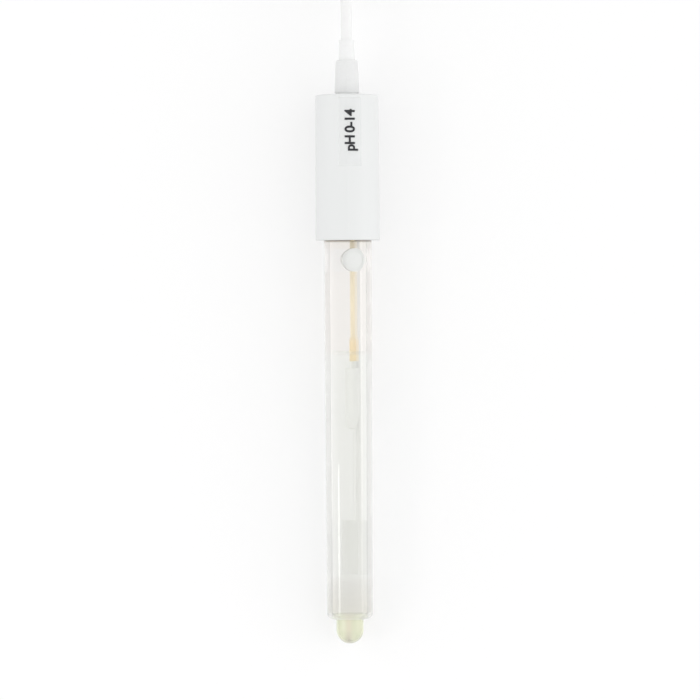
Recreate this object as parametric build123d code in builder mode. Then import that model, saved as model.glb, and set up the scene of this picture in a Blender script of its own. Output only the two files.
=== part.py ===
"""A combination pH electrode lying on a bench, with its lead tied in a hank and a bayonet plug on its end.

Millimetres, +Z up, the bench at Z = 0. The electrode lies along Y with its bulb towards -Y, tilted a little
because it rests on the rim of its cap and on the end of its tube.
"""

import os
from math import acos, atan2, cos, degrees, hypot, pi, radians, sin, tan

from build123d import *

os.makedirs("parts", exist_ok=True)

# Fits
film = 0.03            # close fit between pieces that are glued or pressed together
slide_fit = 0.05       # moulded pieces that push into each other
turn_fit = 0.1         # the coupling ring on its neck
turn_gap = 0.3         # end play of the coupling ring
cut_past = 1.0         # how far a cut runs past the surface that it opens

# Body tube: moulded, with a spigot in the cap, parallel where a holder grips it, then drafted to its end
shank_radius = 6.0
shank_length = 22.0
spigot_radius = 5.8
tube_reach = 94.2
tube_end_radius = 5.7
tube_wall = 1.1
tube_end_wall = 1.5
tube_end_round = 1.2

# Cap: a moulded shell with draft, open below
cap_length = 36.0
cap_radius = 8.0
cap_top_radius = 7.85
cap_rim_round = 0.3
cap_top_round = 0.4
cap_top_wall = 2.5
cap_cavity_radius = 5.2
socket_depth = 14.0

# Strain relief: a grommet with a collar and a tapering neck above the cap
relief_shank_radius = 2.6
relief_flange_radius = 3.6
relief_flange_thickness = 1.2
relief_groove_radius = 2.75
relief_groove_width = 0.6
relief_collar_radius = 3.05
relief_collar_top_radius = 2.75
relief_collar_length = 8.7
relief_collar_round = 0.45
relief_neck_radius = 2.05
relief_neck_top_radius = 1.85
relief_neck_length = 5.0
relief_flare = 0.2
relief_flare_length = 5.0

# Label film on the cap
label_margin = 0.8     # below the cap's top
label_length = 17.0
label_width_angle = 41.0
label_turn = 5.5
label_thickness = 0.06

# Fill hole and its plug, a little to the side of the front
fill_distance = 4.9
fill_turn = 16.0
fill_radius = 2.9
fill_plug_inside = 0.3
fill_inset = 0.25      # below the tube's surface, so that a holder slides over it
fill_rim = 0.55
fill_dish = 0.15

# Glass: stem and bulb in one
stem_radius = 3.42
stem_wall = 0.5
stem_inside_cap = 10.0
bulb_straight = 2.9

# Gel in the stem, with its level
gel_cover = 2.0        # the inner lead's end lies this far below the level
meniscus = 0.5

# Inner half cell: a sleeved lead that carries a bullet of silver chloride
element_aside = 0.6
lead_aside = 1.0
lead_radius = 0.62
lead_collar_radius = 0.85
lead_collar_length = 5.2
lead_reach = 30.0
lead_end_cover = 8.0   # resin above the ends of both leads
element_neck_radius = 0.35
element_neck_length = 1.8
element_radius = 1.3
element_length = 17.0
element_nose = 4.0
element_tip_radius = 0.8

# Outer half cell: a wire down the back of the chamber to a silver strip
wire_radius = 0.3
wire_circle = 4.1
wire_turn = 164.0
strip_thickness = 0.4
strip_angle = 42.0
strip_turn = 172.0
strip_clear = 0.6      # between the strip and the porous ring
strip_length = 13.6

# Seals: porous ring at the lower end, stopper and ring at the upper end, resin in the cap
junction_length = 8.6
stopper_length = 6.0
stopper_head = 2.0
seal_length = 6.0
potting_clear = 2.3    # between the resin and the strain relief's flange

# Lead, and its hank of two columns of turns, folded at both ends and tied round its waist
cable_radius = 1.4
first_bend = 54.6      # from the cap's rim, along the electrode
entry_run = 20.2
entry_rise = 0.3
beside_run = 12.0
hank_fold = 8.4
hank_straight = 31.0
hank_y = 116.1
outer_turns = 3
inner_turns = 4
inner_start = 0.27     # share of the inner column's first turn that stays on the bench
tie_width = 5.0
tie_thickness = 0.6
tie_corner = 0.1
tail_start_y = 135.0
tail_top_run = 10.0
tail_drop_run = 11.0
tail_end_run = 9.0
plug_x = -0.8

# Plug, measured from the end of the lead's jacket towards the mating end
ring_radius = 7.2
boot_reach = 5.0
boot_rear_radius = 2.0
boot_radius = 4.3
boot_shoulder = 2.0
ferrule_length = 9.0
ferrule_radius = 3.2
crimp_radius = 2.6
crimp_bore = 1.3
crimp_start = 1.0
back_radius = 4.9
back_thickness = 2.4
back_socket = 1.4
neck_radius = 4.0
contact_radius = 4.05
contact_bore = 3.5
contact_reach = 25.0
contact_slot = 0.5
contact_slot_length = 6.0
neck_reach = 15.3
flange_radius = 5.3
flange_thickness = 1.0
insulator_reach = 19.0
insulator_nose_radius = 2.4
insulator_nose = 3.0
pin_radius = 0.68
pin_barrel_radius = 0.95
pin_start = 5.0
pin_reach = 24.0
pin_tip = 0.4
gasket_radius = 4.75
gasket_thickness = 0.85
washer_thickness = 0.3
ring_flange = 2.1
ring_recess_radius = 5.7
ring_recess_length = 3.0
ring_bore = 4.95
ring_reach = 25.6
ring_chamfer = 0.6
knurl_count = 20
knurl_radius = 0.6
knurl_depth = 0.35
knurl_length = 5.0
bayonet_width = 2.4
bayonet_length = 4.2
bayonet_angle = 40.0
bayonet_centre = 20.8
bayonet_floor = 6.1

# How the electrode rests: a line that touches the cap's rim and the tube's rounded end
rim_centre = cap_radius - cap_rim_round
end_centre = tube_end_radius - tube_end_round
rest_drop = rim_centre - end_centre
rest_span = tube_reach - tube_end_round + cap_rim_round
tilt = acos((tube_end_round - cap_rim_round) / hypot(rest_drop, rest_span)) - atan2(rest_span, rest_drop)
rest_height = rim_centre * cos(tilt) - cap_rim_round * sin(tilt) + cap_rim_round
dome_centre = tube_reach + bulb_straight
relief_reach = cap_length + relief_collar_length + relief_neck_length
bulb_side = dome_centre * cos(tilt) + stem_radius
cable_side = relief_reach * cos(tilt) + relief_neck_top_radius * sin(tilt)
rim_y = (bulb_side - cable_side) / 2

# The electrode's own frame: origin at the cap's rim, Z along the tube, Y up
electrode = Plane((0, rim_y, rest_height), x_dir=(1, 0, 0), z_dir=(0, -cos(tilt), -sin(tilt)))


def half_plane(frame, angle=0.0, aside=0.0):
    """The plane of a half section: X is the radius, at an angle from the top, and Y is the frame's axis."""
    radius = frame.y_dir * cos(radians(angle)) + frame.x_dir * sin(radians(angle))
    return Plane(frame.origin + frame.x_dir * aside, x_dir=radius, z_dir=radius.cross(frame.z_dir))


def turn(plane, outline, arc=360.0, mode=Mode.ADD):
    """Turn a half section, given as (radius, distance) points, about the plane's own Y axis."""
    with BuildSketch(plane) as half:
        with BuildLine():
            Polyline(*outline, close=True)
        make_face()
    revolve(half.sketch, axis=Axis(plane.origin, plane.y_dir), revolution_arc=arc, mode=mode)


def rod(plane, radius, start, end, mode=Mode.ADD):
    """A plain round rod on a half plane's axis."""
    turn(plane, [(0, start), (radius, start), (radius, end), (0, end)], mode=mode)


def radial_plane(frame, angle, distance):
    """A plane on the frame's axis that faces outwards at an angle from the top."""
    outwards = frame.y_dir * cos(radians(angle)) + frame.x_dir * sin(radians(angle))
    return Plane(frame.origin + frame.z_dir * distance, x_dir=frame.z_dir, z_dir=outwards)


def finish(builder, name):
    """Label a finished piece and write it."""
    builder.part.label = name
    export_step(builder.part, f"parts/{name}.step")


def tube_bore(distance):
    """The body tube's bore radius at a distance below the cap's rim."""
    draft = (shank_radius - tube_end_radius) / (tube_reach - shank_length)
    return shank_radius - tube_wall - draft * max(0.0, distance - shank_length)


section = half_plane(electrode)
along = Axis(electrode.origin, electrode.z_dir)
tube_floor = tube_reach - tube_end_wall
junction_start = tube_floor - junction_length
strip_start = junction_start - strip_clear - strip_length
stem_bore = stem_radius - stem_wall
gel_level = lead_reach - gel_cover
relief_bore = cable_radius + film
cap_floor = cap_length - cap_top_wall
potting_reach = cap_floor - relief_flange_thickness - potting_clear
lead_inside_cap = potting_reach - lead_end_cover

# Body tube, with a hole for the glass in its end and the fill hole in its front
with BuildPart() as body_tube:
    turn(section, [
        (spigot_radius, -socket_depth),
        (spigot_radius, 0),
        (shank_radius, 0),
        (shank_radius, shank_length),
        (tube_end_radius, tube_reach),
        (stem_radius + slide_fit, tube_reach),
        (stem_radius + slide_fit, tube_floor),
        (tube_bore(tube_floor), tube_floor),
        (tube_bore(0), shank_length),
        (tube_bore(0), -socket_depth),
    ])
    end_edge = body_tube.edges().filter_by(GeomType.CIRCLE).sort_by(along)[-2:].sort_by(SortBy.RADIUS)[-1]
    fillet(end_edge, tube_end_round)
    with BuildSketch(radial_plane(electrode, fill_turn, fill_distance)):
        Circle(fill_radius)
    extrude(amount=shank_radius + cut_past, mode=Mode.SUBTRACT)
finish(body_tube, "body_tube")

# Fill plug: a disc that follows the tube, dished inside a low rim
plug_face = radial_plane(electrode, fill_turn, fill_distance)
plug_radius = fill_radius - film
plug_outer = shank_radius - fill_inset
plug_ends = (fill_distance - fill_radius, fill_distance + fill_radius)
with BuildPart() as plug_rim:
    turn(section, [
        (plug_outer - 2 * fill_dish, plug_ends[0]),
        (plug_outer, plug_ends[0]),
        (plug_outer, plug_ends[1]),
        (plug_outer - 2 * fill_dish, plug_ends[1]),
    ])
    with BuildSketch(plug_face):
        Circle(plug_radius)
        Circle(plug_radius - fill_rim, mode=Mode.SUBTRACT)
    extrude(amount=shank_radius + cut_past, mode=Mode.INTERSECT)
with BuildPart() as fill_plug:
    turn(section, [
        (tube_bore(0) - fill_plug_inside, plug_ends[0]),
        (plug_outer - fill_dish, plug_ends[0]),
        (plug_outer - fill_dish, plug_ends[1]),
        (tube_bore(0) - fill_plug_inside, plug_ends[1]),
    ])
    with BuildSketch(plug_face):
        Circle(plug_radius)
    extrude(amount=shank_radius + cut_past, mode=Mode.INTERSECT)
    add(plug_rim.part)
finish(fill_plug, "fill_plug")

# Cap: socket for the tube, cavity for the resin, hole for the strain relief
with BuildPart() as cap:
    turn(section, [
        (cap_radius, 0),
        (cap_top_radius, -cap_length),
        (relief_shank_radius + slide_fit, -cap_length),
        (relief_shank_radius + slide_fit, -cap_floor),
        (cap_cavity_radius, -cap_floor),
        (cap_cavity_radius, -socket_depth),
        (spigot_radius + slide_fit, -socket_depth),
        (spigot_radius + slide_fit, 0),
    ])
    outer_edges = cap.edges().filter_by(GeomType.CIRCLE).sort_by(SortBy.RADIUS)[-2:].sort_by(along)
    fillet(outer_edges[-1], cap_rim_round)
    top_edge = cap.edges().filter_by(GeomType.CIRCLE).sort_by(along)[:2].sort_by(SortBy.RADIUS)[-1]
    fillet(top_edge, cap_top_round)
finish(cap, "cap")

# Label film, wrapped on the cap's tapering side
cap_draft = (cap_radius - cap_top_radius) / cap_length
label_top = cap_length - label_margin
label_ends = (label_top - label_length, label_top)
label_radii = [cap_radius - cap_draft * end + film for end in label_ends]
with BuildPart() as label_film:
    turn(half_plane(electrode, label_turn + label_width_angle / 2), [
        (label_radii[0], -label_ends[0]),
        (label_radii[0] + label_thickness, -label_ends[0]),
        (label_radii[1] + label_thickness, -label_ends[1]),
        (label_radii[1], -label_ends[1]),
    ], arc=label_width_angle)
finish(label_film, "label_film")

# Strain relief, with a flared mouth where the lead leaves it
collar_top = cap_length + relief_collar_length
with BuildPart() as strain_relief:
    turn(section, [
        (relief_bore, -cap_floor + relief_flange_thickness),
        (relief_flange_radius, -cap_floor + relief_flange_thickness),
        (relief_flange_radius, -cap_floor),
        (relief_shank_radius, -cap_floor),
        (relief_shank_radius, -cap_length),
        (relief_groove_radius, -cap_length),
        (relief_groove_radius, -cap_length - relief_groove_width),
        (relief_collar_radius, -cap_length - relief_groove_width),
        (relief_collar_top_radius, -collar_top),
        (relief_neck_radius, -collar_top),
        (relief_neck_top_radius, -relief_reach),
        (relief_bore + relief_flare, -relief_reach),
        (relief_bore, -relief_reach + relief_flare_length),
    ])
    rings = strain_relief.edges().filter_by(GeomType.CIRCLE).filter_by_position(
        along, -collar_top - film, -collar_top + film)
    fillet(rings.sort_by(SortBy.RADIUS)[-1], relief_collar_round)
finish(strain_relief, "strain_relief")

# Glass stem, blown into a round bulb at its lower end
with BuildPart() as glass_stem:
    with BuildSketch(section):
        with BuildLine():
            Polyline((stem_bore, dome_centre), (stem_bore, -stem_inside_cap),
                     (stem_radius, -stem_inside_cap), (stem_radius, dome_centre))
            RadiusArc((stem_radius, dome_centre), (0, dome_centre + stem_radius), -stem_radius)
            Line((0, dome_centre + stem_radius), (0, dome_centre + stem_bore))
            RadiusArc((0, dome_centre + stem_bore), (stem_bore, dome_centre), stem_bore)
        make_face()
    revolve(axis=along)
finish(glass_stem, "glass_stem")

# Inner half cell: amber lead and the bullet that it carries
element_line = half_plane(electrode, aside=element_aside)
lead_line = half_plane(electrode, aside=lead_aside)
bullet_start = lead_reach + element_neck_length
bullet_end = lead_reach + element_length
with BuildPart() as inner_lead:
    turn(lead_line, [
        (0, -lead_inside_cap),
        (lead_radius, -lead_inside_cap),
        (lead_radius, lead_reach - lead_collar_length - lead_collar_radius),
        (lead_collar_radius, lead_reach - lead_collar_length),
        (lead_collar_radius, lead_reach),
        (0, lead_reach),
    ])
finish(inner_lead, "inner_lead")

nose_start = bullet_end - element_nose
tip_start = bullet_end - element_tip_radius
with BuildPart() as inner_element:
    with BuildSketch(element_line):
        with BuildLine():
            Polyline((0, bullet_end), (0, lead_reach), (element_neck_radius, lead_reach),
                     (element_neck_radius, bullet_start), (element_radius, bullet_start),
                     (element_radius, nose_start), (element_tip_radius, tip_start))
            RadiusArc((element_tip_radius, tip_start), (0, bullet_end), -element_tip_radius)
        make_face()
    revolve(axis=Axis(element_line.origin, element_line.y_dir))
finish(inner_element, "inner_element")

# Gel in the stem: a hollow level at its top, cleared round the lead and the bullet
gel_radius = stem_bore - film
with BuildPart() as buffer_gel:
    with BuildSketch(section):
        with BuildLine():
            ThreePointArc((0, gel_level), (gel_radius / 2, gel_level - meniscus / 4),
                          (gel_radius, gel_level - meniscus))
            Line((gel_radius, gel_level - meniscus), (gel_radius, dome_centre))
            RadiusArc((gel_radius, dome_centre), (0, dome_centre + gel_radius), -gel_radius)
            Line((0, dome_centre + gel_radius), (0, gel_level))
        make_face()
    revolve(axis=along)
    rod(lead_line, lead_collar_radius + film, gel_level - 2 * meniscus, lead_reach + film, mode=Mode.SUBTRACT)
    rod(element_line, element_radius + film, lead_reach, bullet_end + film, mode=Mode.SUBTRACT)
finish(buffer_gel, "buffer_gel")

# Outer half cell: wire and curved strip, in the back of the outer chamber
wire_line = Plane(
    electrode.origin + radial_plane(electrode, wire_turn, 0).z_dir * wire_circle,
    x_dir=section.x_dir, z_dir=section.z_dir)
with BuildPart() as reference_lead:
    rod(wire_line, wire_radius, -lead_inside_cap, strip_start)
finish(reference_lead, "reference_lead")

strip_ends = (strip_start, strip_start + strip_length)
with BuildPart() as reference_strip:
    turn(half_plane(electrode, strip_turn + strip_angle / 2), [
        (wire_circle - strip_thickness / 2, strip_ends[0]),
        (wire_circle + strip_thickness / 2, strip_ends[0]),
        (wire_circle + strip_thickness / 2, strip_ends[1]),
        (wire_circle - strip_thickness / 2, strip_ends[1]),
    ], arc=strip_angle)
finish(reference_strip, "reference_strip")

# Porous ring that closes the outer chamber round the glass
with BuildPart() as junction_ring:
    turn(section, [
        (stem_radius + film, junction_start),
        (tube_bore(junction_start) - film, junction_start),
        (tube_bore(tube_floor) - film, tube_floor),
        (stem_radius + film, tube_floor),
    ])
finish(junction_ring, "junction_ring")

# Stopper in the top of the glass, with a head that sits on its end
with BuildPart() as stem_stopper:
    turn(section, [
        (0, stopper_length - stem_inside_cap),
        (stem_bore - film, stopper_length - stem_inside_cap),
        (stem_bore - film, -stem_inside_cap),
        (stem_radius, -stem_inside_cap),
        (stem_radius, -stem_inside_cap - stopper_head),
        (0, -stem_inside_cap - stopper_head),
    ])
    rod(lead_line, lead_radius + film, -lead_inside_cap, lead_reach, mode=Mode.SUBTRACT)
finish(stem_stopper, "stem_stopper")

# Ring that closes the top of the outer chamber, pierced by the wire
seal_top = stem_inside_cap + stopper_head
with BuildPart() as chamber_seal:
    turn(section, [
        (stem_radius + film, -seal_top),
        (tube_bore(0) - film, -seal_top),
        (tube_bore(0) - film, seal_length - seal_top),
        (stem_radius + film, seal_length - seal_top),
    ])
    rod(wire_line, wire_radius + film, -lead_inside_cap, strip_start, mode=Mode.SUBTRACT)
finish(chamber_seal, "chamber_seal")

# Resin in the top of the tube and in the cap, set round both leads
with BuildPart() as cap_potting:
    turn(section, [
        (0, -seal_top),
        (tube_bore(0) - film, -seal_top),
        (tube_bore(0) - film, -socket_depth),
        (cap_cavity_radius - film, -socket_depth),
        (cap_cavity_radius - film, -potting_reach),
        (0, -potting_reach),
    ])
    rod(lead_line, lead_radius + film, -lead_inside_cap, 0, mode=Mode.SUBTRACT)
    rod(wire_line, wire_radius + film, -lead_inside_cap, 0, mode=Mode.SUBTRACT)
finish(cap_potting, "cap_potting")


def bend_radii(points):
    """The largest radius that each corner of a route has room for."""
    radii = []
    for before, corner, after in zip(points, points[1:], points[2:]):
        half_turn = radians((corner - before).get_angle(after - corner)) / 2
        shorter = min((corner - before).length, (after - corner).length)
        radii.append(0.45 * shorter / tan(half_turn))
    return radii


def lead_tube(points):
    """A round lead along a route of straight runs and tangent arcs."""
    with BuildLine() as route:
        FilletPolyline(*points, radius=bend_radii(points))
    with BuildSketch(Plane(points[0], z_dir=points[1] - points[0])) as round_section:
        Circle(cable_radius)
    sweep(round_section.sketch, path=route.wires()[0])
    return route.wires()[0].length


# Hank: where its two columns of turns lie
pitch = 2 * cable_radius
outer_fold = hank_fold + pitch
hank_centre = Vector(outer_fold + cable_radius - cap_radius, hank_y, 0)
outer_side = hank_centre.X - outer_fold
inner_side = hank_centre.X - hank_fold
outer_top = cable_radius + outer_turns * pitch
inner_top = cable_radius + (inner_turns - inner_start) * pitch
near_y = hank_y - hank_straight / 2

# Lead: straight out of the strain relief and on to the outer column
lead_start = electrode.from_local_coords(Vector(0, 0, -cap_floor))
lead_bend = electrode.from_local_coords(Vector(0, 0, -first_bend))
lead_beside = Vector(outer_side, lead_bend.Y + entry_run, outer_top + entry_rise)
lead_end = Vector(outer_side, lead_beside.Y + beside_run, outer_top)
cable_route = [lead_start, lead_bend, lead_beside, lead_end]
with BuildPart() as cable:
    cable_length = lead_tube(cable_route)
finish(cable, "cable")

# Hank as one solid: the outer column is lower than the inner one, and both draw in under the tie
hank_width = 2 * (outer_fold + cable_radius)
tie_dip = tie_thickness + film
with BuildPart() as cable_coil:
    with BuildSketch(Plane(hank_centre)):
        SlotCenterToCenter(hank_straight, hank_width, rotation=90)
    extrude(amount=outer_top + cable_radius)
    with BuildSketch(Plane(hank_centre)):
        SlotCenterToCenter(hank_straight, 2 * (hank_fold + cable_radius), rotation=90)
    extrude(amount=inner_top + cable_radius)
    with BuildSketch(Plane(hank_centre)):
        SlotCenterToCenter(hank_straight, 2 * (hank_fold - cable_radius), rotation=90)
    extrude(amount=inner_top + cable_radius, mode=Mode.SUBTRACT)
    with BuildSketch(Plane(hank_centre)):
        Rectangle(hank_width, tie_width + 2 * film)
    extrude(amount=tie_dip, mode=Mode.SUBTRACT)
    with BuildSketch(Plane(hank_centre)):
        with Locations((-hank_width / 2, 0), (hank_width / 2, 0)):
            Rectangle(2 * tie_dip, tie_width + 2 * film)
    extrude(amount=outer_top + cable_radius, mode=Mode.SUBTRACT)
finish(cable_coil, "cable_coil")

# Tie: a band round the hank's waist
tie_inside = (hank_width - 2 * tie_thickness, inner_top + cable_radius + tie_thickness)
tie_middle = hank_centre + Vector(0, tie_width / 2, tie_thickness + tie_inside[1] / 2)
with BuildPart() as cable_tie:
    with BuildSketch(Plane(tie_middle, x_dir=(1, 0, 0), z_dir=(0, -1, 0))):
        RectangleRounded(hank_width, tie_inside[1] + 2 * tie_thickness, tie_corner + tie_thickness)
        RectangleRounded(*tie_inside, tie_corner, mode=Mode.SUBTRACT)
    extrude(amount=tie_width)
finish(cable_tie, "cable_tie")

# Tail: off the top of the inner column and down to the plug, which lies on its ring
tail_start = Vector(inner_side, tail_start_y, inner_top)
tail_bend = tail_start + Vector(0, tail_top_run, film)
tail_level = Vector(plug_x, tail_bend.Y + tail_drop_run, ring_radius)
tail_end = tail_level + Vector(0, tail_end_run, 0)
tail_route = [tail_start, tail_bend, tail_level, tail_end]
with BuildPart() as cable_tail:
    tail_length = lead_tube(tail_route)
finish(cable_tail, "cable_tail")

# Plug: Z of its frame points to its mating end
plug = Plane(tail_end, x_dir=(-1, 0, 0), z_dir=(0, 1, 0))
plug_section = half_plane(plug)
plug_line = Axis(plug.origin, plug.z_dir)
back_front = ferrule_length + back_thickness
neck_start = back_front - back_socket
ring_start = back_front + turn_gap
recess_start = ring_start + ring_flange
recess_end = recess_start + ring_recess_length
flange_end = neck_reach + flange_thickness

with BuildPart() as plug_boot:
    turn(plug_section, [
        (cable_radius + film, -boot_reach),
        (boot_rear_radius, -boot_reach),
        (boot_radius, boot_shoulder),
        (boot_radius, ferrule_length),
        (ferrule_radius + film, ferrule_length),
        (ferrule_radius + film, 0),
        (cable_radius + film, 0),
    ])
finish(plug_boot, "plug_boot")

with BuildPart() as crimp_ferrule:
    turn(plug_section, [
        (crimp_radius + film, 0),
        (ferrule_radius, 0),
        (ferrule_radius, ferrule_length),
        (crimp_radius + film, ferrule_length),
    ])
finish(crimp_ferrule, "crimp_ferrule")

with BuildPart() as back_body:
    turn(plug_section, [
        (crimp_bore, crimp_start),
        (crimp_radius, crimp_start),
        (crimp_radius, ferrule_length),
        (back_radius, ferrule_length),
        (back_radius, back_front),
        (neck_radius + film, back_front),
        (neck_radius + film, neck_start),
        (crimp_bore, neck_start),
    ])
    rims = back_body.edges().filter_by(GeomType.CIRCLE).sort_by(SortBy.RADIUS)[-2:]
    chamfer(rims, ring_chamfer / 2)
finish(back_body, "back_body")

with BuildPart() as contact_sleeve:
    turn(plug_section, [
        (contact_bore, neck_start),
        (neck_radius, neck_start),
        (neck_radius, neck_reach),
        (flange_radius, neck_reach),
        (flange_radius, flange_end),
        (contact_radius, flange_end),
        (contact_radius, contact_reach),
        (contact_bore, contact_reach),
    ])
    with BuildSketch(plug.offset(contact_reach)):
        Rectangle(3 * contact_radius, contact_slot)
        Rectangle(contact_slot, 3 * contact_radius)
    extrude(amount=-contact_slot_length, mode=Mode.SUBTRACT)
finish(contact_sleeve, "contact_sleeve")

with BuildPart() as plug_insulator:
    turn(plug_section, [
        (pin_radius + film, neck_start),
        (contact_bore - film, neck_start),
        (contact_bore - film, insulator_reach),
        (insulator_nose_radius, insulator_reach),
        (insulator_nose_radius, insulator_reach + insulator_nose),
        (pin_radius + film, insulator_reach + insulator_nose),
    ])
finish(plug_insulator, "plug_insulator")

with BuildPart() as centre_pin:
    turn(plug_section, [
        (0, pin_start),
        (pin_barrel_radius, pin_start),
        (pin_barrel_radius, neck_start),
        (pin_radius, neck_start),
        (pin_radius, pin_reach - pin_tip),
        (pin_radius - pin_tip, pin_reach),
        (0, pin_reach),
    ])
finish(centre_pin, "centre_pin")

with BuildPart() as plug_gasket:
    turn(plug_section, [
        (contact_radius + film, flange_end),
        (gasket_radius, flange_end),
        (gasket_radius, flange_end + gasket_thickness),
        (contact_radius + film, flange_end + gasket_thickness),
    ])
finish(plug_gasket, "plug_gasket")

# Spring washer: a coned ring between the coupling ring and the neck's flange
with BuildPart() as spring_washer:
    turn(plug_section, [
        (neck_radius + turn_fit, recess_start + turn_fit),
        (neck_radius + turn_fit, recess_start + turn_fit + washer_thickness),
        (flange_radius, neck_reach),
        (flange_radius, neck_reach - washer_thickness),
    ])
finish(spring_washer, "spring_washer")

# Coupling ring: knurled behind, with two slanted bayonet slots and their lead-in channels in front
with BuildPart() as coupling_ring:
    turn(plug_section, [
        (neck_radius + turn_fit, ring_start),
        (ring_radius - ring_chamfer, ring_start),
        (ring_radius, ring_start + ring_chamfer),
        (ring_radius, ring_reach - ring_chamfer),
        (ring_radius - ring_chamfer, ring_reach),
        (ring_bore + ring_chamfer / 2, ring_reach),
        (ring_bore, ring_reach - ring_chamfer / 2),
        (ring_bore, recess_end),
        (ring_recess_radius, recess_end),
        (ring_recess_radius, recess_start),
        (neck_radius + turn_fit, recess_start),
    ])
    with BuildSketch(plug.offset(ring_start)):
        knurl_circle = ring_radius + knurl_radius - knurl_depth
        with PolarLocations(knurl_circle, knurl_count, start_angle=180 / knurl_count):
            Circle(knurl_radius)
    extrude(amount=ring_chamfer + knurl_length, mode=Mode.SUBTRACT)
    slot_half = bayonet_length / 2 * cos(radians(bayonet_angle))
    slot_side = bayonet_length / 2 * sin(radians(bayonet_angle))
    for side in (90, 270):
        face = radial_plane(plug, side, bayonet_centre)
        with BuildSketch(face):
            SlotCenterToCenter(bayonet_length, bayonet_width, rotation=bayonet_angle)
        extrude(amount=ring_radius + cut_past, mode=Mode.SUBTRACT)
        mouth = ring_reach - bayonet_centre
        with BuildSketch(face):
            with Locations(((slot_half + mouth) / 2, slot_side)):
                Rectangle(mouth - slot_half, bayonet_width)
        extrude(amount=bayonet_floor, mode=Mode.SUBTRACT)
finish(coupling_ring, "coupling_ring")

turns_length = 2 * hank_straight * (outer_turns + inner_turns) + 2 * pi * (
    outer_turns * outer_fold + inner_turns * hank_fold)
lead_length = cable_length + near_y - lead_end.Y + turns_length + tail_start.Y - near_y + tail_length
print("tilt", round(degrees(tilt), 3), "rim_y", round(rim_y, 3), "rest_height", round(rest_height, 3))
print("lead bends", [round(radius, 1) for radius in bend_radii(cable_route)])
print("tail bends", [round(radius, 1) for radius in bend_radii(tail_route)])
print("lead route", [tuple(round(v, 3) for v in point) for point in cable_route])
print("tail route", [tuple(round(v, 3) for v in point) for point in tail_route])
print("hank centre", tuple(round(v, 3) for v in hank_centre), "folds", hank_fold, outer_fold)
print("hank levels", round(outer_top, 3), round(inner_top, 3))
print("hank sides", round(outer_side, 3), round(inner_side, 3))
section_area = pi * cable_radius ** 2
print("lead volume", round(cable.part.volume, 2), round(section_area * cable_length, 2))
print("tail volume", round(cable_tail.part.volume, 2), round(section_area * tail_length, 2))
print("length of lead", round(lead_length, 1))
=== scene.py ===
"""A combination pH electrode on a white bench, seen from straight above.

Its lead is tied in a hank beyond the view and ends in a bayonet plug.
"""

import math

import bpy
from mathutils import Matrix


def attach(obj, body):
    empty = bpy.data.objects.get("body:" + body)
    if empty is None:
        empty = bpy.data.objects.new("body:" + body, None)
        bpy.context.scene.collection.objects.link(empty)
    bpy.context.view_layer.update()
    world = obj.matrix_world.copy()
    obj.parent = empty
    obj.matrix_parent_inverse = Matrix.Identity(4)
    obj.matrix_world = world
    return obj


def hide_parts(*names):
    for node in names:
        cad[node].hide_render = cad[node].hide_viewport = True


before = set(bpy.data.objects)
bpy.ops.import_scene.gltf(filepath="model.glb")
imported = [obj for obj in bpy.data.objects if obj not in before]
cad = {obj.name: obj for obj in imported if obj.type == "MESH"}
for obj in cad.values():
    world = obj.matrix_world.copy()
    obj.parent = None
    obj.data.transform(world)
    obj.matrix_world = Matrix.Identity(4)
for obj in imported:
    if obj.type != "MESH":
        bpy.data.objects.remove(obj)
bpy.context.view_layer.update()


# Glass stem: one drawn glass tube whose lower end is blown into a round bulb of thin, yellow-green pH glass.
# It hangs in the body between a rubber seal and a porous ring, so that only the bulb stands in the air.
rim_y = 0.02538  # the middle of the cap's rim, from which places along the electrode are measured
rim_z = 0.00799
tilt = math.radians(1.412)
body_end = 0.0942
stem_limit = 0.0032  # between the stem's bore and its outer face
bulb_top = body_end - 0.0012
bulb_centre = 0.0971
bulb_skin = (0.0030, 0.0033)  # from the bulb's inner face, which hardly shows, to its outer one
# The bulb's warm line is a painted refraction of the stem's inside, seen through the glass.
refraction_line_x = -0.0003  # a faint warm line down the bulb, darker at its tip
refraction_line_fade = (0.0001, 0.0011)
refraction_line_darkens = (bulb_centre, bulb_centre + 0.0028)


class Wire:
    """An output of a material's nodes. Arithmetic on it adds the Math nodes that work it out."""

    def __init__(self, tree, socket=None):
        self.tree = tree
        self.socket = socket

    def node(self, kind, settings=None, values=None, out=0):
        """Add any node: first its settings, then the values or links of its sockets. Gives one output."""
        added = self.tree.nodes.new(kind)
        for name, setting in (settings or {}).items():
            setattr(added, name, setting)
        for name, value in (values or {}).items():
            if isinstance(value, Wire):
                self.tree.links.new(value.socket, added.inputs[name])
            else:
                added.inputs[name].default_value = value
        return Wire(self.tree, added.outputs[out] if added.outputs else None)

    def math(self, operation, *values):
        return self.node("ShaderNodeMath", {"operation": operation}, dict(enumerate(values)))

    def __add__(self, other):
        return self.math("ADD", self, other)

    __radd__ = __add__

    def __sub__(self, other):
        return self.math("SUBTRACT", self, other)

    def __rsub__(self, other):
        return self.math("SUBTRACT", other, self)

    def __mul__(self, other):
        return self.math("MULTIPLY", self, other)

    __rmul__ = __mul__

    def __gt__(self, other):
        return self.math("GREATER_THAN", self, other)

    def __lt__(self, other):
        return self.math("LESS_THAN", self, other)

    def __abs__(self):
        return self.math("ABSOLUTE", self)


def new_finish(name):
    """A bare material, and the Object coordinates that it is painted by."""
    finish = bpy.data.materials.new(name)
    finish.use_nodes = True
    finish.node_tree.nodes.clear()
    place = Wire(finish.node_tree).node("ShaderNodeTexCoord", out="Object")
    return finish, place


def principled(place, values):
    return place.node("ShaderNodeBsdfPrincipled", values=values)


def coat(finish, shader, *pieces):
    """Send a shader to the material's output, and put the material on pieces."""
    shader.node("ShaderNodeOutputMaterial", values={"Surface": shader})
    for piece in pieces:
        if not piece.material_slots:
            piece.data.materials.append(finish)
        for slot in piece.material_slots:
            slot.material = finish


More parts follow.
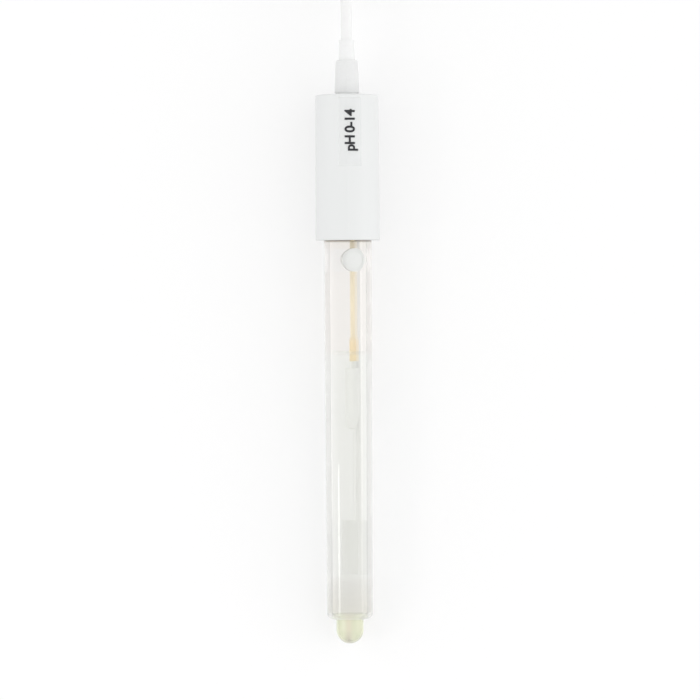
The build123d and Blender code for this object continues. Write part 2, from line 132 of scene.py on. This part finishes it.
def blotches(place, scale, detail=2.0, roughness=0.5):
    return place.node("ShaderNodeTexNoise", values={
        "Vector": place, "Scale": scale, "Detail": detail, "Roughness": roughness})


def tint(place, share, first, second):
    """A colour between two, each plain or from a node, by a share from 0 to 1."""
    ends = [end if isinstance(end, Wire) else (*end, 1) for end in (first, second)]
    return place.node("ShaderNodeMix", {"data_type": "RGBA"}, {0: share, 6: ends[0], 7: ends[1]}, out=2)


def ramp(place, value, low, high, to_low=0.0, to_high=1.0):
    """A value that goes evenly from one level to another between two limits."""
    return place.node("ShaderNodeMapRange", {"clamp": True}, {
        "Value": value, "From Min": low, "From Max": high, "To Min": to_low, "To Max": to_high})


def bumps(place, height, distance, strength=1.0):
    return place.node("ShaderNodeBump", values={
        "Height": height, "Distance": distance, "Strength": strength})


def mixed(share, first, second):
    """A mix of two shaders, by a share from 0 to 1."""
    return first.node("ShaderNodeMixShader", values={0: share, 1: first, 2: second})


def coordinate(place, axis):
    """One coordinate of a place or a direction."""
    return place.node("ShaderNodeSeparateXYZ", values={0: place}, out=axis)


def from_rim(place):
    """How far a point lies below the cap's rim, along the electrode."""
    level = (rim_y - coordinate(place, "Y")) * math.cos(tilt)
    return level + (rim_z - coordinate(place, "Z")) * math.sin(tilt)


def from_line(place, point, along):
    """How far a point lies from a line, given by a point on it and its direction."""
    away = place.node("ShaderNodeVectorMath", {"operation": "SUBTRACT"}, {0: place, 1: point})
    across = place.node("ShaderNodeVectorMath", {"operation": "CROSS_PRODUCT"}, {0: away, 1: along})
    return place.node("ShaderNodeVectorMath", {"operation": "LENGTH"}, {0: across}, out="Value")


def from_axis(place):
    """How far a point lies from the electrode's axis."""
    return from_line(place, (0, rim_y, rim_z), (0, math.cos(tilt), math.sin(tilt)))


stem_glass, place = new_finish("stem_glass")
below = from_rim(place)
away = from_axis(place)
wall = principled(place, {
    "Base Color": (0.998, 0.996, 0.988, 1), "Roughness": 0.02, "IOR": 1.05, "Transmission Weight": 1.0,
    "Alpha": away > stem_limit})
past = place.math("MAXIMUM", below - bulb_centre, 0.0)
reach = place.math("SQRT", away * away + past * past)
# painted refraction: a warm line down the bulb where the stem's inside shows through
painted_refraction_line = ramp(place, abs(coordinate(place, "X") - refraction_line_x), *refraction_line_fade)
refraction_line_colour = tint(place, ramp(place, below, *refraction_line_darkens), (0.95, 0.89, 0.75), (0.74, 0.71, 0.62))
bulb = principled(place, {
    "Base Color": tint(place, painted_refraction_line, refraction_line_colour, (0.93, 0.945, 0.755)), "Roughness": 0.03, "IOR": 1.25,
    "Transmission Weight": 0.70, "Coat Weight": 1.0, "Coat Roughness": 0.03,
    "Alpha": ramp(place, reach, *bulb_skin, 0.2, 1.0)})
stem = mixed(below > bulb_top, wall, bulb)
coat(stem_glass, stem, cad["glass_stem"])


# Buffer gel: the clear filling of the stem, poured in before the inner half cell and set with a hollow top.
# It only shows by its level and by a faint green-grey cast.
gel_level = 0.0280
level_fade = (0.0001, 0.0007)

buffer_gel, place = new_finish("buffer_gel")
near_level = 1 - ramp(place, abs(from_rim(place) - gel_level), *level_fade)
surface = principled(place, {"Base Color": (0.90, 0.92, 0.87, 1), "Roughness": 0.2})
clear = principled(place, {
    "Base Color": (0.99, 0.995, 0.98, 1), "Roughness": 0.0, "IOR": 1.0, "Transmission Weight": 1.0})
gel = mixed(0.1 * near_level, clear, surface)
coat(buffer_gel, gel, cad["buffer_gel"])


# Inner half cell: a wire in an amber varnished sleeve, with a thicker collar, that carries a pressed bullet
# of silver chloride. The sleeve is held by the stopper in the top of the stem.
collar_start = (0.0235, 0.0255)

amber_sleeve, place = new_finish("amber_sleeve")
on_collar = ramp(place, from_rim(place), *collar_start)
colour = tint(place, on_collar, (1.0, 0.87, 0.58), (0.99, 0.77, 0.40))
sleeve = principled(place, {"Base Color": colour, "Roughness": 0.3})
coat(amber_sleeve, sleeve, cad["inner_lead"])

silver_chloride, place = new_finish("silver_chloride")
grain = blotches(place, 2600, 4)
colour = tint(place, ramp(place, grain, 0.3, 0.7), (0.93, 0.93, 0.92), (0.98, 0.98, 0.97))
salt = principled(place, {
    "Base Color": colour, "Roughness": 0.8, "Normal": bumps(place, grain, 0.00004)})
coat(silver_chloride, salt, cad["inner_element"], cad["reference_strip"])


# Stopper and chamber seal: two moulded rubber pieces, one in the top of the stem and one round it.
# They are pushed in before the resin is cast, and close both chambers under it.
seal_rubber, place = new_finish("seal_rubber")
grain = blotches(place, 900, 3)
seal = principled(place, {
    "Base Color": tint(place, grain, (0.80, 0.74, 0.66), (0.88, 0.84, 0.78)), "Roughness": 0.6,
    "Normal": bumps(place, grain, 0.00005)})
coat(seal_rubber, seal, cad["stem_stopper"], cad["chamber_seal"])


# Outer half cell: a drawn silver wire along the outer chamber, bonded to a curved strip.
# The strip has the same dull coating as the bullet, and takes its finish in the section of that.
silver_wire, place = new_finish("silver_wire")
drawn = blotches(place, 1800, 2)
wire = principled(place, {
    "Base Color": tint(place, drawn, (0.88, 0.88, 0.865), (0.94, 0.94, 0.925)), "Metallic": 0.2,
    "Roughness": ramp(place, drawn, 0.3, 0.7, 0.35, 0.55)})
coat(silver_wire, wire, cad["reference_lead"])


# Porous ring: fired ceramic, unglazed, pressed into the lower end of the chamber, which it closes.
# The filling soaks it nearly clear at its top, and it is stained a little brown towards its open end.
ring_top = 0.0841
ring_limit = 0.0044  # between the ring's bore and its outer face
stain_start = ring_top + 0.001
stain_full = ring_top + 0.009
stain_wander = 0.002
dry_share = 0.24  # above a quarter, the render's noise filter draws a line where the stain starts

porous_ceramic, place = new_finish("porous_ceramic")
pores = blotches(place, 1500, 5, 0.6)
outer = (1 - place.node("ShaderNodeNewGeometry", out="Backfacing")) * (from_axis(place) > ring_limit)
stain = ramp(place, from_rim(place) + stain_wander * pores, stain_start, stain_full) * outer
colour = tint(place, ramp(place, pores, 0.35, 0.65), (0.80, 0.775, 0.70), (0.86, 0.84, 0.775))
dry = principled(place, {
    "Base Color": colour, "Roughness": 0.75, "Normal": bumps(place, pores, 0.00006)})
soaked = principled(place, {
    "Base Color": tint(place, stain, (0.995, 0.99, 0.985), (0.87, 0.84, 0.75)), "Roughness": 0.0, "IOR": 1.0,
    "Transmission Weight": 1.0})
frit = mixed(dry_share * stain, soaked, dry)
coat(porous_ceramic, frit, cad["junction_ring"])


# Body tube: one clear moulding, full of liquid, parallel where a holder grips it and then drafted to its end.
# The liquid has nearly the plastic's index, and the soft plug lies close in its hole, so the walls of bore
# and hole don't show. Painted under the cap: a dark shadow line, and below it the resin's warm glow.
bore_limit = 0.00525  # between the tube's bore and its outer face
end_face = body_end - 0.0008
tube_index = 1.33
tube_strength = 0.7
hole_distance = 0.0049
hole_turn = math.radians(16.0)
hole_limit = 0.00293  # just past the wall of the fill hole
# painted shadow line under the cap's rim, and the painted warm glow of the resin below it
painted_shadow_line = (0.0003, 0.0006)
painted_glow_end = (0.0008, 0.0030)
filling_edge = (gel_level - 0.001, gel_level + 0.001)

hole_point = (0, rim_y - hole_distance * math.cos(tilt), rim_z - hole_distance * math.sin(tilt))
hole_along = (
    math.sin(hole_turn), -math.sin(tilt) * math.cos(hole_turn), math.cos(tilt) * math.cos(hole_turn))

body_plastic, place = new_finish("body_plastic")
below = from_rim(place)
off_hole = from_line(place, hole_point, hole_along) > hole_limit
skin = place.math("MAXIMUM", from_axis(place) > bore_limit, below > end_face) * off_hole
colour = tint(place, ramp(place, below, *filling_edge), (1.0, 0.970, 0.935), (0.992, 0.995, 0.965))
# painted warm glow of the resin, just below the cap
colour = tint(place, ramp(place, below, *painted_glow_end), (0.99, 0.945, 0.885), colour)
# painted shadow: a dark line just under the cap's rim
colour = tint(place, ramp(place, below, *painted_shadow_line), (0.42, 0.36, 0.29), colour)
hazy = principled(place, {
    "Base Color": colour, "Roughness": 0.03, "IOR": tube_index, "Transmission Weight": 0.66,
    "Coat Weight": 1.0, "Coat Roughness": 0.04, "Alpha": tube_strength * skin})
leaving = principled(place, {
    "Base Color": colour, "Roughness": 0.03, "IOR": tube_index, "Transmission Weight": 1.0,
    "Alpha": tube_strength * skin})
clear = mixed(place.node("ShaderNodeNewGeometry", out="Backfacing"), hazy, leaving)
coat(body_plastic, clear, cad["body_tube"])


# Fill plug: a soft disc of white silicone, moulded with a dish inside its rim.
# It is pressed into the hole that the liquid is topped up through, and its own grip holds it there.
plug_silicone, place = new_finish("plug_silicone")
grain = blotches(place, 1400, 3)
silicone = principled(place, {
    "Base Color": tint(place, grain, (0.82, 0.83, 0.81), (0.86, 0.87, 0.85)), "Roughness": 0.5,
    "Normal": bumps(place, grain, 0.00003)})
coat(plug_silicone, silicone, cad["fill_plug"])


# Resin: an amber casting in the top of the tube and in the cap, poured once the leads are joined.
# It sets hard and glossy, and seals the leads where they pass.
potting_resin, place = new_finish("potting_resin")
cloud = blotches(place, 500, 3)
resin = principled(place, {
    "Base Color": tint(place, cloud, (0.62, 0.46, 0.26), (0.74, 0.58, 0.36)), "Roughness": 0.2})
coat(potting_resin, resin, cad["cap_potting"])


# Cap: a white satin moulding glued over the tube's spigot, with the fine grain of a spark-finished mould and
# faint flow marks along its length.
flow_draw = (1.0, 0.12, 1.0)


def stretched(place, factors):
    """Coordinates times a factor for each axis. A pattern is drawn out where the factor is small."""
    return place.node("ShaderNodeVectorMath", {"operation": "MULTIPLY"}, {0: place, 1: factors})


cap_plastic, place = new_finish("cap_plastic")
grain = blotches(place, 3200, 3)
flow = blotches(stretched(place, flow_draw), 140)
shell = principled(place, {
    "Base Color": tint(place, ramp(place, flow, 0.3, 0.7), (0.85, 0.862, 0.857), (0.88, 0.892, 0.887)),
    "Roughness": ramp(place, grain, 0.3, 0.7, 0.28, 0.38), "Normal": bumps(place, grain, 0.000008)})
coat(cap_plastic, shell, cad["cap"])


# Label: a strip of clear film stuck along the cap, with a plain marking printed lengthways on it in dark ink.
# The marking is the range that such an electrode measures. It is laid on the film by projection.
print_middle = (0.0008, 0.0522, 0.020)
print_height = 0.0034
print_weight = 0.0001
ink_thickness = 0.00001

label_film, place = new_finish("label_film")
film = principled(place, {
    "Base Color": (0.90, 0.90, 0.90, 1), "Roughness": ramp(place, blotches(place, 300), 0.3, 0.7, 0.25, 0.35),
    "Alpha": 0.05})
coat(label_film, film, cad["label_film"])

bpy.ops.object.select_all(action="DESELECT")
bpy.ops.object.text_add(location=print_middle, rotation=(0, 0, math.pi / 2))
marking = bpy.context.object
marking.name = "range_marking"
marking.data.body = "pH 0-14"
marking.data.size = print_height
marking.data.align_x = "CENTER"
marking.data.align_y = "CENTER"
marking.data.offset = print_weight
marking.data.space_character = 0.92
marking.data.space_word = 0.85
bpy.ops.object.convert(target="MESH")
bpy.ops.object.transform_apply(location=True, rotation=True, scale=True)
bpy.ops.object.mode_set(mode="EDIT")
bpy.ops.mesh.select_all(action="SELECT")
bpy.ops.mesh.quads_convert_to_tris()
bpy.ops.mesh.subdivide(number_cuts=3)
bpy.ops.object.mode_set(mode="OBJECT")
wrap = marking.modifiers.new("wrap", "SHRINKWRAP")
wrap.target = cad["label_film"]
wrap.wrap_method = "PROJECT"
wrap.use_project_z = True
wrap.use_negative_direction = True
wrap.use_positive_direction = False
wrap.offset = ink_thickness
bpy.ops.object.modifier_apply(modifier=wrap.name)
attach(marking, "electrode")

label_ink, place = new_finish("label_ink")
fade = blotches(place, 2500, 2)
ink = principled(place, {
    "Base Color": tint(place, fade, (0.012, 0.012, 0.016), (0.03, 0.03, 0.036)), "Roughness": 0.45})
coat(label_ink, ink, marking)


# Strain relief: a soft white grommet moulded with a collar and a thinner neck, pushed through the cap's top.
# The neck is painted lighter, for the light through it. The boot on the plug is moulded of the same plastic.
neck_start = -0.0440
neck_thin = -0.0455

relief_plastic, place = new_finish("relief_plastic")
grain = blotches(place, 2400, 3)
# painted light: the neck is painted lighter for the light that comes through it
painted_neck_light = ramp(place, from_rim(place), neck_start, neck_thin)
grommet = principled(place, {
    "Base Color": tint(place, ramp(place, grain + painted_neck_light, 0.3, 1.7), (0.85, 0.855, 0.85), (0.96, 0.965, 0.96)),
    "Roughness": ramp(place, grain, 0.3, 0.7, 0.42, 0.55), "Normal": bumps(place, grain, 0.000015)})
coat(relief_plastic, grommet, cad["strain_relief"], cad["plug_boot"])


# Lead: about a metre of thin coaxial cable in an extruded white jacket, crimped into the plug at its far end.
# It runs straight out of the strain relief into a hank folded for storage: three turns down the outer column,
# four turns up the inner one, and off its top to the plug.
jacket = 0.0028
lead_route = [
    (0.0, 0.058870, 0.008816),
    (0.0, 0.079963, 0.009336),
    (0.0, 0.086500, 0.009900),
    (-0.0033, 0.093000, 0.010300),
    (-0.0066, 0.099500, 0.010200),
    (-0.0066, 0.112163, 0.009800),
]
tail_route = [
    (-0.0038, 0.135000, 0.011844),
    (-0.0038, 0.145000, 0.011874),
    (-0.0008, 0.156000, 0.007200),
    (-0.0008, 0.165000, 0.007200),
]
hank_x = 0.0046
hank_y = 0.1161
straight = 0.031
outer_turns = 3
inner_turns = 4
inner_fold = 0.0084
outer_fold = 0.0112
waist = (-0.0103, -0.0032, 0.0032, 0.0103)
tie_pinch = (0.0, 0.00063, 0.00063, 0.0)
fold_steps = 6
lead_takes = 2  # points of the first turn that the lead itself takes the place of


def fold_line(fold):
    """One turn of the hank, clockwise from its left side.

    Each point has its place, how far the tie pinches it and how far along the turn it lies. The points of the
    round ends stand a little outside the fold, so that the smooth line through the hank runs on it.
    """
    turn = []
    round_trip = 2 * straight + 2 * math.pi * fold
    step = math.pi / fold_steps
    outside = fold / (0.5 * math.cos(step / 2) + 0.375 + 0.125 * math.cos(step))
    for side, start in ((-1, 0.0), (1, straight + math.pi * fold)):
        for down, pinch in zip(waist, tie_pinch):
            turn.append((hank_x + side * (fold - pinch), hank_y - side * down, pinch,
                         (start + straight / 2 + down) / round_trip))
        for index in range(fold_steps):
            angle = (index + 0.5) * step
            turn.append((hank_x + side * outside * math.cos(angle),
                         hank_y - side * (straight / 2 + outside * math.sin(angle)), 0.0,
                         (start + straight + fold * angle) / round_trip))
    return turn


floor_level = jacket / 2
hank_route = []
for turn in range(outer_turns):
    first = lead_takes if turn == 0 else 0
    for x, y, rise, share in fold_line(outer_fold)[first:]:
        hank_route.append((x, y, floor_level + rise + jacket * (outer_turns - turn - share)))
on_floor = straight / (2 * straight + 2 * math.pi * inner_fold)
for turn in range(inner_turns):
    for x, y, rise, share in fold_line(inner_fold):
        if turn == 0 and share < on_floor:
            x -= (outer_fold - inner_fold) * (1 - share / on_floor)
        hank_route.append((x, y, floor_level + rise + jacket * max(turn + share - on_floor, 0.0)))
for x, y, rise, share in fold_line(inner_fold)[:len(waist)]:
    hank_route.append((x, y, tail_route[0][2] + rise))

line = bpy.data.curves.new("lead", "CURVE")
line.dimensions = "3D"
line.resolution_u = 6
line.bevel_depth = 1.0
line.bevel_resolution = 5
line.use_fill_caps = True
spline = line.splines.new("NURBS")
route = lead_route + hank_route + tail_route
spline.points.add(len(route) - 1)
for point, spot in zip(spline.points, route):
    point.co = (*spot, 1)
    point.radius = jacket / 2
spline.order_u = 3
spline.use_endpoint_u = True
lead = bpy.data.objects.new("lead", line)
bpy.context.collection.objects.link(lead)
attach(lead, "electrode")
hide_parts("cable", "cable_coil", "cable_tail")

cable_jacket, place = new_finish("cable_jacket")
grain = blotches(place, 1500, 2)
sheath = principled(place, {
    "Base Color": tint(place, ramp(place, grain, 0.3, 0.7), (0.95, 0.95, 0.945), (0.97, 0.97, 0.965)),
    "Roughness": ramp(place, grain, 0.3, 0.7, 0.4, 0.52), "Normal": bumps(place, grain, 0.00001)})
coat(cable_jacket, sheath, lead)


# Tie: a flat band of natural nylon, moulded with fine ribs across it.
# It is pulled tight round the hank's waist, which draws the hank's sides in a little.
tie_nylon, place = new_finish("tie_nylon")
ribs = place.node("ShaderNodeTexWave", {"wave_type": "BANDS", "bands_direction": "X"}, {
    "Vector": place, "Scale": 350})
band = principled(place, {
    "Base Color": tint(place, ribs, (0.74, 0.74, 0.71), (0.80, 0.80, 0.775)), "Roughness": 0.4,
    "Normal": bumps(place, ribs, 0.00004)})
coat(tie_nylon, band, cad["cable_tie"])


# Plug: turned brass with nickel plating. A ferrule is crimped over the lead, and a back body holds a slotted
# contact sleeve on a neck. A coned spring washer presses on the coupling ring, which turns on that neck.
plated_brass, place = new_finish("plated_brass")
turned = blotches(stretched(place, (0.15, 4.0, 0.15)), 900, 2)
spots = blotches(place, 700, 3)
plating = principled(place, {
    "Base Color": tint(place, spots, (0.62, 0.60, 0.56), (0.70, 0.685, 0.65)), "Metallic": 1.0,
    "Roughness": ramp(place, spots, 0.3, 0.7, 0.18, 0.28), "Normal": bumps(place, turned, 0.000001, 0.3)})
coat(plated_brass, plating, cad["crimp_ferrule"], cad["back_body"], cad["contact_sleeve"],
     cad["spring_washer"], cad["coupling_ring"])


# Inside the plug: a turned white insulator with a gold plated pin through it, and a moulded silicone gasket.
# The insulator is pressed into the contact sleeve, and the gasket lies on the neck's flange.
plug_insulator, place = new_finish("plug_insulator")
grain = blotches(place, 1800, 2)
insulator = principled(place, {
    "Base Color": tint(place, grain, (0.84, 0.84, 0.83), (0.89, 0.89, 0.88)), "Roughness": 0.45})
coat(plug_insulator, insulator, cad["plug_insulator"])

gold_pin, place = new_finish("gold_pin")
spots = blotches(place, 1500, 2)
gold = principled(place, {
    "Base Color": tint(place, spots, (0.80, 0.58, 0.24), (0.86, 0.66, 0.32)), "Metallic": 1.0,
    "Roughness": 0.25})
coat(gold_pin, gold, cad["centre_pin"])

gasket_silicone, place = new_finish("gasket_silicone")
grain = blotches(place, 1500, 2)
gasket = principled(place, {
    "Base Color": tint(place, grain, (0.40, 0.12, 0.08), (0.50, 0.17, 0.11)), "Roughness": 0.6})
coat(gasket_silicone, gasket, cad["plug_gasket"])


# Bench: a large matt white sheet under the electrode, and no part of it. What the camera sees of it has a
# little light of its own, so it is white at the edges of the view and keeps the electrode's soft shadow.
sheet_size = 6
sheet_grey = 0.42
sheet_light = 0.60


def sees_background(wire):
    """1 for rays that see the white background: the camera's, reflections and those through clear pieces."""
    path = [wire.node("ShaderNodeLightPath", out=name) for name in (
        "Is Camera Ray", "Is Glossy Ray", "Is Transmission Ray")]
    return wire.math("MINIMUM", path[0] + path[1] + path[2], 1.0)


bpy.ops.object.select_all(action="DESELECT")
bpy.ops.mesh.primitive_plane_add(size=sheet_size)
bench = bpy.context.object
bench.name = "bench"

bench_white, place = new_finish("bench_white")
sheet = place.node("ShaderNodeBsdfDiffuse", values={"Color": (sheet_grey, sheet_grey, sheet_grey, 1)})
lift = place.node("ShaderNodeEmission", values={
    "Color": (1, 1, 1, 1), "Strength": sheet_light * sees_background(place)})
coat(bench_white, place.node("ShaderNodeAddShader", values={0: sheet, 1: lift}), bench)


# Studio: a white tent of cloth, brighter at its sides than overhead, with two soft boxes outside the view.
# They draw the bright lines along the tube and the bright spots on the bulb.
tent_top = 0.30
tent_sides = 1.48
tent_right = 0.10  # how much the right side is brighter
box_distance = 0.6
box_width = 0.10
soft_boxes = (
    ("soft_box_left", -1, 53, -0.15, 0.14, 0.20),
    ("soft_box_right", 1, 66, -0.07, 0.22, 0.11),
)

room = bpy.data.worlds.new("room")
room.use_nodes = True
room.node_tree.nodes.clear()
air = Wire(room.node_tree)
aside = coordinate(air.node("ShaderNodeTexCoord", out="Generated"), "X")
tent = tent_top + tent_sides * abs(aside) + tent_right * aside
glow = air.node("ShaderNodeBackground", values={
    "Color": (1, 1, 1, 1), "Strength": tent + (1 - tent) * sees_background(air)})
air.node("ShaderNodeOutputWorld", values={"Surface": glow})
bpy.context.scene.world = room

for name, side, lean, along, length, watts in soft_boxes:
    angle = math.radians(lean)
    bpy.ops.object.light_add(
        type="AREA", rotation=(0, side * angle, 0),
        location=(side * box_distance * math.sin(angle), along, box_distance * math.cos(angle)))
    box = bpy.context.object
    box.name = name
    box.data.shape = "RECTANGLE"
    box.data.size = box_width
    box.data.size_y = length
    box.data.energy = watts


# Camera: a long lens high above the electrode, so that hardly any of its sides shows.
# It looks straight down and is turned by a third of a degree, as in the photograph.
view_x = 0.0004
view_y = -0.0019
view_turn = math.radians(-0.34)
view_level = 0.008
view_height = 0.76
view_width = 0.1741
sensor = 36.0

bpy.ops.object.camera_add(location=(view_x, view_y, view_level + view_height), rotation=(0, 0, view_turn))
camera = bpy.context.object
camera.data.sensor_width = sensor
camera.data.lens = sensor * view_height / view_width
camera.data.clip_start = 0.05
bpy.context.scene.camera = camera
bpy.context.scene.view_settings.view_transform = "Standard"
